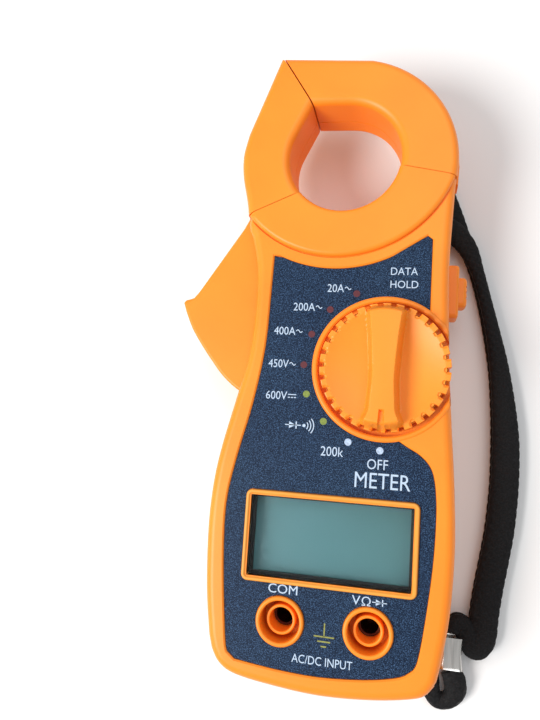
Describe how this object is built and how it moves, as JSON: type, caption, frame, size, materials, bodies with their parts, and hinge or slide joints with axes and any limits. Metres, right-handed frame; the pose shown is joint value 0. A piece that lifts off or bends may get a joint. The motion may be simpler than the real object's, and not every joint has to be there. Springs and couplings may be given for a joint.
{
  "type": "clamp meter",
  "caption": "Pocket clamp meter: squeeze-lever jaws round a conductor window, rotary range dial, display, hold button, test sockets and a woven wrist strap.",
  "frame": {"origin": "on the flat back of the case, on its centre line, about mid length", "axes": "+X across the case to the hold button side, +Y along the case towards the jaws, +Z out of the face"},
  "size_m": [0.0797, 0.1511, 0.0308],
  "materials": {
    "casing_orange": "satin injection-moulded ABS",
    "label_dark": "printed overlay, fine speckle",
    "lens_clear": "clear acrylic window",
    "display_grey": "unlit liquid-crystal panel",
    "black_plastic": "moulded black plastic",
    "board_green": "glass-fibre board, green solder mask",
    "core_steel": "laminated magnetic steel",
    "steel": "plated steel",
    "brass": "plain brass",
    "coil_tape": "yellow polyester tape",
    "white_plastic": "white moulded plastic",
    "cell_wrap": "plain shrink sleeve",
    "rubber_grey": "conductive silicone strip",
    "copper_wire": "insulated hook-up wire",
    "strap_black": "woven nylon strap"
  },
  "bodies": {
    "case": {"battery_bridge": "steel", "battery_cell_1": "cell_wrap", "battery_cell_2": "cell_wrap", "battery_contact_minus": "steel", "battery_contact_plus": "steel", "battery_door": "casing_orange", "battery_spring_1": "steel", "battery_spring_2": "steel", "board_screw_1": "steel", "board_screw_2": "steel", "buzzer": "black_plastic", "capacitor": "black_plastic", "case_screw_1": "steel", "case_screw_2": "steel", "case_screw_3": "steel", "case_screw_4": "steel", "chip_blob": "black_plastic", "coil_leads": "copper_wire", "door_screw": "steel", "face_label": "label_dark", "fixed_core": "core_steel", "fixed_jaw_front": "casing_orange", "fixed_jaw_rear": "casing_orange", "front_case": "casing_orange", "hold_switch": "black_plastic", "lcd_connector_lower": "rubber_grey", "lcd_connector_upper": "rubber_grey", "lcd_holder": "black_plastic", "lcd_panel": "display_grey", "lcd_window": "lens_clear", "main_board": "board_green", "pickup_coil": "coil_tape", "pivot_pin": "steel", "rear_case": "casing_orange", "shunt_resistor": "white_plastic", "socket_com": "brass", "socket_input": "brass", "socket_wire_com": "copper_wire", "socket_wire_input": "copper_wire", "strap_clip": "steel", "strap_loop": "strap_black", "thermistor": "coil_tape", "trim_pot": "white_plastic", "wrist_strap": "strap_black"},
    "lever": {"lever_front": "casing_orange", "lever_rear": "casing_orange", "moving_core": "core_steel", "lever_spring": "steel"},
    "dial": {"dial_knob": "casing_orange", "dial_rotor": "white_plastic", "dial_wiper_1": "brass", "dial_wiper_2": "brass", "dial_wiper_3": "brass", "detent_spring": "steel", "detent_ball": "steel"},
    "button": {"hold_button": "casing_orange"}
  },
  "joints": [
    {"name": "lever_hinge", "type": "hinge", "parent": "case", "child": "lever", "pos_m": [-0.0205, 0.0305, 0], "axis": [0, 0, 1], "range_deg": [0, 28], "stiffness_Nm_per_rad": 0.6, "springref_deg": -20.05, "deforming": ["lever_spring"]},
    {"name": "dial_turn", "type": "hinge", "parent": "case", "child": "dial", "pos_m": [0.0108, -0.0028, 0.024], "axis": [0, 0, 1], "range_deg": [-157.5, 0]},
    {"name": "hold_press", "type": "slide", "parent": "case", "child": "button", "axis": [-1, 0, 0], "range_m": [0, 0.0012], "stiffness_N_per_m": 400, "springref_m": -0.001}
  ]
}
